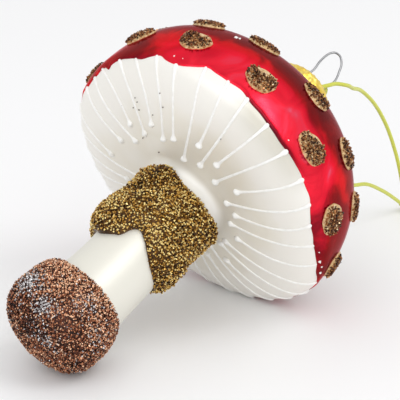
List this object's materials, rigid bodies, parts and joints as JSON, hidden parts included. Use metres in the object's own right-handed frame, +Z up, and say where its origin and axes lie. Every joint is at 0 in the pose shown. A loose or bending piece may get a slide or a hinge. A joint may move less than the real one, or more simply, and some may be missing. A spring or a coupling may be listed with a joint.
{
  "type": "glass toadstool ornament",
  "caption": "Hollow blown glass toadstool ornament lying on its side, with red dome, white gills and stem, glitter spots, skirt and foot, metal crown cap, wire hanger and cord loop.",
  "frame": {"origin": "On the table, in the middle of the footprint of the lying ornament with its crown cap and hanger, the cord left out.", "axes": "+X along the table, the way the crown points; +Y across to the left of that way; +Z up. The toadstool's axis rises 24.9 degrees from +X, so that its rim and its foot both touch the table."},
  "size_m": [0.1881, 0.094, 0.0877],
  "materials": {
    "red_lacquered_glass": "glossy red lacquer on blown glass, with darker crimson patches",
    "pearl_lacquered_glass": "satin pearl white lacquer on blown glass, with raised white gill lines",
    "gold_glitter": "gold glitter grains set in glue",
    "copper_glitter": "copper brown glitter grains set in glue",
    "brown_glitter": "dark brown and gold glitter grains on a tan glue pad",
    "gold_metal": "gold coloured thin metal, embossed",
    "steel_wire": "bright spring wire",
    "elastic_cord": "yellow-green elastic cord"
  },
  "bodies": {
    "ornament": {"cap_shell": "red_lacquered_glass", "stem_shell": "pearl_lacquered_glass", "skirt_glitter": "gold_glitter", "foot_glitter": "copper_glitter", "spot_lower_01": "brown_glitter", "spot_lower_02": "brown_glitter", "spot_lower_03": "brown_glitter", "spot_lower_04": "brown_glitter", "spot_lower_05": "brown_glitter", "spot_lower_06": "brown_glitter", "spot_lower_07": "brown_glitter", "spot_lower_08": "brown_glitter", "spot_lower_09": "brown_glitter", "spot_lower_10": "brown_glitter", "spot_lower_11": "brown_glitter", "spot_lower_12": "brown_glitter", "spot_upper_01": "brown_glitter", "spot_upper_02": "brown_glitter", "spot_upper_03": "brown_glitter", "spot_upper_04": "brown_glitter", "spot_upper_05": "brown_glitter", "spot_upper_06": "brown_glitter", "spot_upper_07": "brown_glitter", "spot_upper_08": "brown_glitter", "spot_upper_09": "brown_glitter", "spot_upper_10": "brown_glitter", "spot_upper_11": "brown_glitter", "spot_upper_12": "brown_glitter"},
    "crown": {"crown_cap": "gold_metal", "cord_bight": "elastic_cord", "cord_upper_strand": "elastic_cord", "cord_lower_strand": "elastic_cord", "cord_knot": "elastic_cord"},
    "hanger": {"wire_hanger": "steel_wire"}
  },
  "joints": [
    {"name": "crown_turn", "type": "hinge", "parent": "ornament", "child": "crown", "pos_m": [0.04848, -0.00147, 0.05991], "axis": [0.9068, 0, 0.4216], "continuous": true},
    {"name": "hanger_pull", "type": "slide", "parent": "crown", "child": "hanger", "axis": [0.9068, 0, 0.4216], "range_m": [0, 0.005]}
  ]
}
